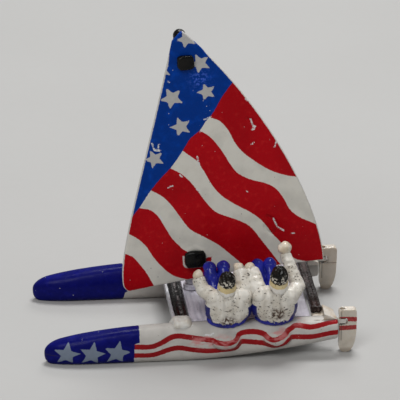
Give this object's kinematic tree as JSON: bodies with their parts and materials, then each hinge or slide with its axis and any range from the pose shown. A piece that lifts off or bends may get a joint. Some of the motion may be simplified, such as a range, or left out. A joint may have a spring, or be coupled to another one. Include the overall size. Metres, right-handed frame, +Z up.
{
  "type": "toy catamaran sailboat",
  "caption": "Pocket-size toy catamaran: two slim hulls, crossbeams, a printed rigid sail that turns with its mast, hinged rudders and a seated two-figure crew.",
  "frame": {"origin": "on the floor under the middle of the boat's bounding box", "axes": "+Z up, -X towards the bows, -Y towards port, where the crew sits"},
  "size_m": [0.054, 0.0299, 0.0558],
  "materials": {
    "printed_white": "worn gloss",
    "white_blue_bow": "worn gloss",
    "white": "worn gloss",
    "black": "worn gloss",
    "pale_deck": "satin",
    "printed_sail": "worn gloss",
    "milky_plastic": "worn gloss",
    "blue_paint": "worn gloss",
    "speckled_white": "satin",
    "cream_paint": "satin",
    "gloss_black": "worn gloss"
  },
  "bodies": {
    "platform": {"port_hull": "printed_white", "starboard_hull": "white_blue_bow", "front_crossbeam": "black", "front_beam_edge": "white", "rear_crossbeam": "black", "trampoline_deck": "pale_deck", "port_front_saddle": "white", "starboard_front_saddle": "white", "port_rear_saddle": "white", "starboard_rear_saddle": "white", "mast_step": "black", "port_gudgeon": "white", "starboard_gudgeon": "white", "port_rudder_pin": "black", "starboard_rudder_pin": "black", "forward_sailor_trousers": "blue_paint", "forward_sailor_jacket": "speckled_white", "forward_sailor_head": "cream_paint", "forward_sailor_hair": "gloss_black", "forward_sailor_left_hand": "cream_paint", "forward_sailor_right_hand": "cream_paint", "aft_sailor_trousers": "blue_paint", "aft_sailor_jacket": "speckled_white", "aft_sailor_head": "cream_paint", "aft_sailor_hair": "gloss_black", "aft_sailor_left_hand": "cream_paint", "aft_sailor_right_hand": "cream_paint"},
    "rig": {"mast": "black", "masthead_cap": "black", "sail": "printed_sail", "upper_sail_peg": "black", "lower_sail_peg": "black"},
    "port_rudder": {"port_rudder": "milky_plastic"},
    "starboard_rudder": {"starboard_rudder": "milky_plastic"}
  },
  "joints": [
    {"name": "mast_swivel", "type": "hinge", "parent": "platform", "child": "rig", "pos_m": [-0.0001, 0.0013, 0.0066], "axis": [-0.0576, 0, 0.9983], "range_deg": [-6, 60]},
    {"name": "port_rudder_turn", "type": "hinge", "parent": "platform", "child": "port_rudder", "pos_m": [0.0245, -0.0123, 0.006], "axis": [0, 0, 1], "range_deg": [-32, 32]},
    {"name": "starboard_rudder_turn", "type": "hinge", "parent": "platform", "child": "starboard_rudder", "pos_m": [0.0245, 0.0123, 0.006], "axis": [0, 0, 1], "range_deg": [-32, 32]}
  ]
}
